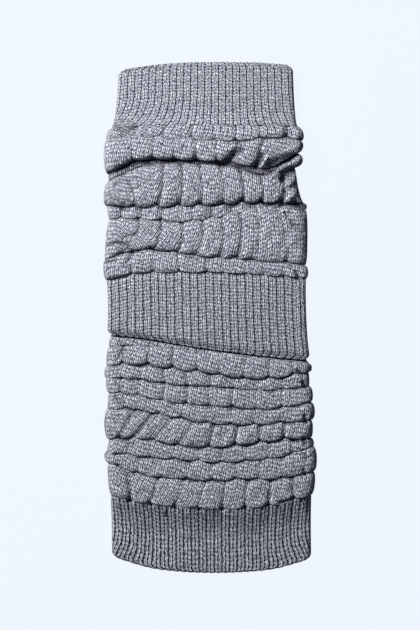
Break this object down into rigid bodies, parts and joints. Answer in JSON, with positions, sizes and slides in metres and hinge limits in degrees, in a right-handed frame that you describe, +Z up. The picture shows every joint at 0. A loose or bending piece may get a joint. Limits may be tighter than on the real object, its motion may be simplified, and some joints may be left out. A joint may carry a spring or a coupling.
{
  "type": "pair of ribbed slouch socks without feet",
  "caption": "Pair of ribbed knit slouch socks without feet, laid flat end to end, gathered between ribbed cuffs, one cuff lapping over the next.",
  "frame": {"origin": "middle of the pair's footprint, on the surface it lies on", "axes": "+Y along the socks towards the upper hem, +X across them to the right, +Z up from the surface"},
  "size_m": [0.1062, 0.2557, 0.011],
  "materials": {
    "knit": "matt grey marl rib knit"
  },
  "bodies": {
    "root": {"upper_sock": "knit", "lower_sock": "knit"}
  },
  "joints": []
}
